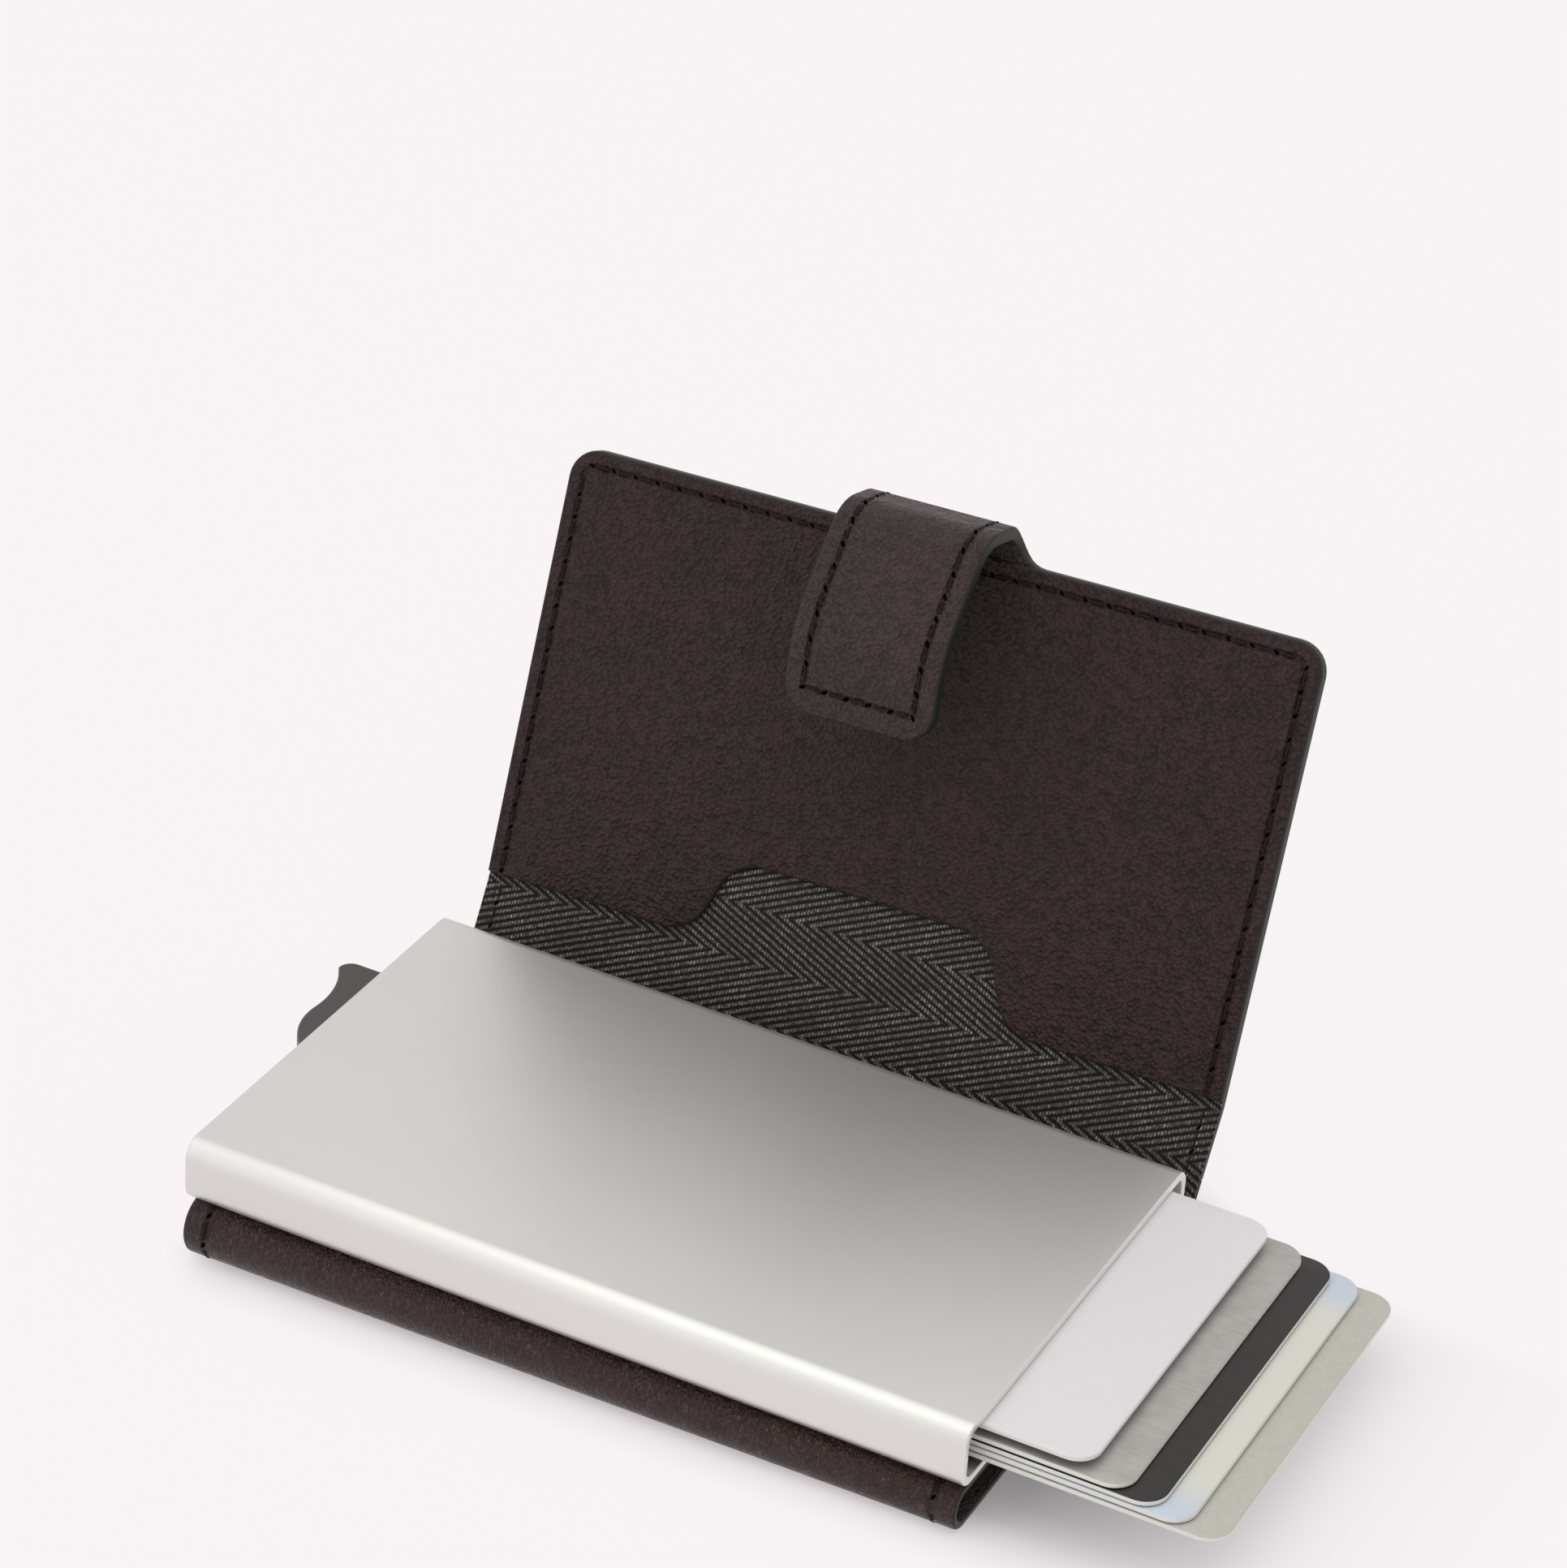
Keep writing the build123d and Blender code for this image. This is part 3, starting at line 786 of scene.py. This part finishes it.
fold_high = fold("fold_high", MID_SPINE, SKIN_LOW, 0.55, lambda z: z < 0)
fold_low = fold("fold_low", FOLD_LOW, MID_SPINE, 0.45, lambda z: True, stands_for=("spine_leather",))

# Cloth over spine and flap, with close rows where it bends
LINING_LOW = -SPINE + 1.2
LINING_BEND = 4.0

lining = sheet("cloth_lining", COVER_HALF, LINING_LOW, FLAP)
round_corners(lining, both_ends(COVER_HALF, FLAP), CORNER)
cut_across(CUT_COLUMNS, steps(LINING_LOW, LINING_BEND, 0.5) + steps(LINING_BEND, FLAP, 6.0))
leave()
thicken(lining, HALF, CLOTH_TOP)
dress(lining, cover_point, [LINING, LEATHER_RIM], "lining_cloth", stands_for=("spine_lining", "flap_lining"))

# Pocket with its finger notch
POCKET_LOW = 1.2
NOTCH_TOP = 36.0
NOTCH_MOUTH = 44.5
NOTCH_DEPTH = 11.2
NOTCH_CORNER = 4.0
NOTCH = [(-NOTCH_MOUTH / 2, POCKET_LOW), (-NOTCH_TOP / 2, POCKET_LOW + NOTCH_DEPTH),
         (NOTCH_TOP / 2, POCKET_LOW + NOTCH_DEPTH), (NOTCH_MOUTH / 2, POCKET_LOW)]

pocket = sheet("pocket_skin", COVER_HALF, POCKET_LOW, FLAP)
choose(pocket, "edges", lambda e, place: place.y < POCKET_LOW + NEAR)
bpy.ops.mesh.subdivide(number_cuts=len(NOTCH))
mesh = bmesh.from_edit_mesh(pocket.data)
low_row = sorted([v for v in mesh.verts if v.co.y < POCKET_LOW + NEAR], key=lambda v: v.co.x)
for vertex, (x, y) in zip(low_row[1:-1], NOTCH):
    vertex.co.x, vertex.co.y = x, y
bmesh.update_edit_mesh(pocket.data)
round_corners(pocket, NOTCH, NOTCH_CORNER)
round_corners(pocket, both_ends(COVER_HALF, FLAP), CORNER)
cut_across(CUT_COLUMNS, steps(POCKET_LOW, FLAP, 4.0))
leave()
thicken(pocket, CLOTH_TOP, POCKET_TOP)
soften(pocket, POCKET_EDGE, where=lambda place: place.z > POCKET_TOP - NEAR)
dress(pocket, cover_point, [POCKET_LEATHER, LEATHER_RIM], "cover_leather", body="flap",
      stands_for=("flap_pocket",))

# Inner leather of the strap, from its flared root on
STRAP_ROOT = STRAP_HALF + STRAP_FLARE

strap_inner = sheet("strap_inner", STRAP_ROOT, FLAP - 1, FLAP)
tongue_outline(strap_inner, STRAP_ROOT)
cut_across(STRAP_COLUMNS, strap_rows())
leave()
thicken(strap_inner, HALF, STRAP_LINING_TOP)
soften(strap_inner, STRAP_EDGE, where=lambda place: place.z > HALF + 0.1 and place.y > FLAP - 0.9)
dress(strap_inner, cover_point, [COVER_LEATHER, LEATHER_RIM], "cover_leather", stands_for=("strap_lining",))

# Back leaf, with close rows round its nose
LEAF_ROWS = ([15, 30, 45, 55] + steps(FLAT_RUN - 0.5, FLAT_RUN + NOSE_RUN + 0.5, 0.5) + [75, 85, 100, 115])

leaf = sheet("leaf_skin", COVER_HALF, 0, LEAF_RUN)
cut_across(steps(-COVER_HALF, COVER_HALF, 6.0), LEAF_ROWS)
leave()
thicken(leaf, -HALF, HALF)
soften(leaf, LEATHER_EDGE, where=lambda place: abs(place.x) > COVER_HALF - NEAR or place.y > LEAF_RUN - NEAR)
dress(leaf, leaf_point, [LEAF_LEATHER, LEATHER_RIM], "cover_leather", body="holder", stands_for=("base_cover",))


# Layers inside the leaf, and the pad under the case

def slab(name, size, place, material, slot, stands_for, edge=0.08, under=Matrix()):
    piece = start(name, "cube", size=1)
    edit(piece)
    stretch(*size)
    leave()
    soften(piece, edge, 2)
    finish(piece, [material], slot, body="holder", place=under @ Matrix.Translation(place),
           stands_for=(stands_for,))


slab("leaf_lining", (101.8, 58.7, 0.3), (0, 1.45, 1.85), TAPE, "lining_cloth", "base_lining")
slab("leaf_tape", (104.2, 0.5, 4.7), (0, 31.3, 3.5), TAPE, "tape_cloth", "base_back_tape")
slab("pad_sheet", (99.3, 56.5, PAD_THICK), (0, 0, -PAD_THICK / 2), PAD, "pad_foam", "case_pad",
     edge=0.03, under=CASE_PLACE)


# Case

case = start("case_tube", "cube", size=1)
edit(case)
stretch(CASE_LENGTH, CASE_WIDTH, CASE_HEIGHT)
move(0, 0, CASE_HEIGHT / 2)
choose(case, "edges", lambda e, place: abs(place.x) < 1)
bpy.ops.mesh.bevel(offset=CASE_CORNER, segments=14, affect="EDGES")
choose(case, "faces", lambda f, place: abs(place.x) > CASE_LENGTH / 2 - NEAR)
bpy.ops.mesh.delete(type="FACE")
leave()
modify(case, "SOLIDIFY", thickness=CASE_WALL, offset=-1)
soften(case, CASE_EDGE, where=lambda place: abs(place.x) > CASE_LENGTH / 2 - NEAR)
for face in case.data.polygons:
    face.material_index = 1 if abs(face.normal.x) > 0.3 else 0
finish(case, [ALUMINIUM, CUT_METAL], "case_metal", body="holder", place=CASE_PLACE, stands_for=("case_shell",),
       smooth=30)


# Cards

def blank_card():
    # white core at the rim; underneath, and on the lower bevel, a dark grey that paints the shade in the gaps
    # between the stacked cards
    piece = sheet("card_blank", CARD_LENGTH / 2, -CARD_WIDTH / 2, CARD_WIDTH / 2)
    corners = both_ends(CARD_LENGTH / 2, -CARD_WIDTH / 2) + both_ends(CARD_LENGTH / 2, CARD_WIDTH / 2)
    round_corners(piece, corners, CARD_CORNER, 10)
    leave()
    thicken(piece, 0, CARD_THICKNESS)
    soften(piece, CARD_EDGE)
    paint_rim(piece, 0.35)
    # painted shade: faces that look downwards get the dark grey of the gaps between the cards
    for face in piece.data.polygons:
        if face.normal.z < -0.3:
            face.material_index = 2
    return piece


CARD_SLOTS = ["card_white", "card_silver", "card_charcoal", "card_green", "card_beige"]
blank = blank_card()
for number, (reach, floor) in enumerate(CARDS, start=1):
    card = blank if number == len(CARDS) else twin(blank, "card")
    card.name = card.data.name = f"plain_card_{number}"
    x = CASE_LENGTH / 2 + reach - CARD_LENGTH / 2
    finish(card, [CARD_FACES[number - 1], CORE, CARD_UNDER_SHADE], CARD_SLOTS[number - 1], body=f"card_{number}_body",
           place=CASE_PLACE @ Matrix.Translation((x, 0, floor)), stands_for=(f"card_{number}",), smooth=30)


# Thread

STRAND = (0.17, 1.1, 0.13)
HOLE_LONG = 2.2
HOLE_DEEP = 0.08
HOLE_SLANT = -0.45


def bead(name, size, **settings):
    piece = start(name, "uv_sphere", radius=1, **settings)
    edit(piece)
    stretch(*size)
    leave()
    piece.data.materials.append(THREAD)
    piece.data.materials.append(HOLE_SHADE)
    return piece


def stitch(mark):
    # one stitch pulled into its line, and before it a flat, slanted, near-black bead that paints the shade of its
    # needle hole
    strand = bead("stitch", STRAND, segments=8, ring_count=6)
    hole = bead("hole", (mark, HOLE_LONG * mark, HOLE_DEEP), segments=10, ring_count=4)
    hole.data.transform(Matrix.Translation((0, -STITCH_PITCH / 2, 0)) @ Matrix.Rotation(HOLE_SLANT, 4, "Z"))
    for face in hole.data.polygons:
        face.material_index = 1
    return join([strand, hole], "stitch")


def row(start_at, end_at, z, pitch=STITCH_PITCH):
    # places of the stitches from one point of the flat cut to another, as (x, y, z, turn)
    run = Vector(end_at) - Vector(start_at)
    count = max(2, round(run.length / pitch))
    turn = math.atan2(run.y, run.x) - math.pi / 2
    return [(*(Vector(start_at) + run * (i + 0.5) / count), z, turn) for i in range(count)]


def rows(corners, z):
    # one row after another along a line with corners
    return sum((row(corners[i], corners[i + 1], z) for i in range(len(corners) - 1)), [])


def thread(name, spots, where, body, stands_for=(), mark=0.2):
    model = stitch(mark)
    copies = []
    for x, y, z, turn in spots:
        copy = twin(model, "stitch")
        copy.data.transform(Matrix.Translation((x, y, z)) @ Matrix.Rotation(turn, 4, "Z"))
        copies.append(copy)
    bpy.data.objects.remove(model)
    whole = join(copies, name)
    shape(whole, where)
    return finish(whole, [], "thread", body=body, stands_for=stands_for)


COVER_SIDE = COVER_HALF - STITCH_INSET
COVER_TOP = FLAP - STITCH_INSET
POCKET_FOOT = 1.9
thread("pocket_thread",
       row((-COVER_SIDE, POCKET_FOOT), (-COVER_SIDE, COVER_TOP - 1), POCKET_TOP)
       + rows([(-COVER_SIDE + 1, COVER_TOP), (-STRAP_ROOT, COVER_TOP), (STRAP_ROOT, COVER_TOP),
               (COVER_SIDE - 1, COVER_TOP)], POCKET_TOP)
       + row((COVER_SIDE, COVER_TOP - 1), (COVER_SIDE, POCKET_FOOT), POCKET_TOP),
       cover_point, "flap", stands_for=("flap_stitches",))

STRAP_SIDE = STRAP_HALF - STRAP_INSET
STRAP_LOW = FLAP + 2
STRAP_LAST = FLAP + STRAP_LENGTH - STRAP_END_INSET
strap_thread = thread("strap_thread",
                      row((-STRAP_SIDE, STRAP_LOW), (-STRAP_SIDE, STRAP_LAST), -HALF)
                      + row((STRAP_SIDE, STRAP_LAST), (STRAP_SIDE, STRAP_LOW), -HALF)
                      + row((-STRAP_SIDE, STRAP_LAST), (STRAP_SIDE, STRAP_LAST), -HALF),
                      cover_point, None, stands_for=("strap_stitches",), mark=0.24)

FOLD_SEAM = (-9.1, 0.2)
fold_thread = thread("fold_thread",
                     row((-COVER_SIDE, FOLD_SEAM[0]), (-COVER_SIDE, FOLD_SEAM[1]), CLOTH_TOP)
                     + row((COVER_SIDE, FOLD_SEAM[0]), (COVER_SIDE, FOLD_SEAM[1]), CLOTH_TOP),
                     cover_point, None)

HEM_SIDE = COVER_HALF - HEM_INSET
HEM_END = FLAT_RUN + NOSE_RUN + 1
thread("hem_thread",
       row((-HEM_SIDE, FLAT_RUN + 1.5), (-HEM_SIDE, HEM_END), HALF, 3.0)
       + row((HEM_SIDE, FLAT_RUN + 1.0), (HEM_SIDE, HEM_END), HALF, 4.0),
       leaf_point, "holder", stands_for=("hem_stitches",))


# Pieces on no body: each one's place is baked into its mesh, and for some the points on the cover at v -2.2 and
# 1.4 are worked out but not used

def spot(v, w):
    return cover_point(0, v, w) * MM


for piece in (skin, strap_inner, strap_thread):
    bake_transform(piece)
for piece in (fold_high, lining, fold_thread):
    spot(-2.2, 0)
    spot(1.4, 0)
    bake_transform(piece)
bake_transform(fold_low)

# Finishes of the solids that stay
KEPT = {
    "eject_lever": LEVER_BLACK, "lever_frame": FRAME_BLACK, "lever_pin": STEEL, "closure_plate": STEEL,
    "strap_magnet": STEEL, "friction_strip_near": RUBBER, "friction_strip_far": RUBBER, "top_strip": FELT,
    "base_stiffener": BOARD,
}
for node, material in KEPT.items():
    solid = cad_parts[node]
    solid.data.materials.clear()
    solid.data.materials.append(material)


# Floor, light and camera

BACKDROP = (0.949, 0.907, 0.924)

# The floor keeps its shadow between these lines, in metres, and past them fades into the even backdrop
SHADOW_MOUTH = 0.056
SHADOW_LEVER = -0.046
SHADOW_FRONT = -0.026
SHADOW_BEHIND = 0.030
SHADOW_FAR = 0.110
SHADOW_SLANT = 0.034
SHADOW_FADE = 0.042
SHADOW_LEAST = 0.2
SHADOW_MOST = 0.95


def shadow_faded(s):
    # how much of the even backdrop covers the floor; behind the flap the shadow is kept only up to a slanted line
    x, y, _ = s.parts(s.place())
    beside = ((x - SHADOW_MOUTH) * 0.75).above((SHADOW_LEVER - x) * 4.0).above(0.0)
    behind = (y - SHADOW_BEHIND).above(0.0)
    slanted = (x + behind * 0.42 - SHADOW_SLANT) * (behind * 90.0).below(3.0)
    across = ((SHADOW_FRONT - y) * 3.5).above(((y - SHADOW_FAR) * 1.5).above(slanted)).above(0.0)
    return s.spread((beside * beside + across * across).root(), 0.0, SHADOW_FADE, SHADOW_LEAST, SHADOW_MOST)


floor = start("floor", "plane", size=8)
pale = Shader("pale floor")
pale.set(Base_Color=(0.93, 0.905, 0.915), Roughness=0.9, Specular_IOR_Level=0.0)
glow = pale.node("ShaderNodeEmission", None, BACKDROP, 1.0)
straight, mirrored = pale.rays()
pale.show((straight * shadow_faded(pale) + mirrored * 0.9).below(1.0), pale.surface.outputs[0], glow.outputs[0],
          "Material Output")
floor.data.materials.append(pale.material)

world = bpy.data.worlds.new("studio")
bpy.context.scene.world = world
world.use_nodes = True
sky = Nodes(world.node_tree)
dim = sky.tree.nodes["Background"]
sky.join(dim.inputs["Color"], (1.0, 0.99, 0.985))
sky.join(dim.inputs["Strength"], 0.6)
bright = sky.node("ShaderNodeBackground", None, (0.93, 0.92, 0.905), 0.78)
straight, mirrored = sky.rays()
sky.show((straight + mirrored).below(1.0), dim.outputs[0], bright.outputs[0], "World Output")


def lamp(name, place, target, size, power):
    data = bpy.data.lights.new(name, "AREA")
    data.shape = "RECTANGLE"
    data.size, data.size_y = size
    data.energy = power
    made = bpy.data.objects.new(name, data)
    made.location = place
    made.rotation_euler = (Vector(target) - Vector(place)).to_track_quat("-Z", "Y").to_euler()
    bpy.context.scene.collection.objects.link(made)


lamp("key", (-0.75, -0.75, 0.95), (0, 0, 0.02), (3.0, 3.0), 9.8)
lamp("top", (0.05, 0.0, 1.2), (0, 0, 0.0), (1.4, 1.4), 3.2)

# The camera that the photograph's straight edges give, in metres
EYE = Vector((0.23454, -0.46010, 0.37092))
RIGHT = Vector((0.88600419, 0.46144773, 0.0454154))
DOWN = Vector((0.26826651, -0.43025595, -0.86192395))
AHEAD = Vector((-0.37819261, 0.77585166, -0.50499955))

camera_data = bpy.data.cameras.new("camera")
camera_data.sensor_width = 36.0
camera_data.lens = 117.88
camera_data.clip_start = 0.01
camera_data.clip_end = 20.0
camera = bpy.data.objects.new("camera", camera_data)
camera.matrix_world = Matrix([(RIGHT[i], -DOWN[i], -AHEAD[i], EYE[i]) for i in range(3)] + [(0, 0, 0, 1)])
bpy.context.scene.collection.objects.link(camera)
bpy.context.scene.camera = camera
bpy.context.scene.view_settings.view_transform = "Standard"
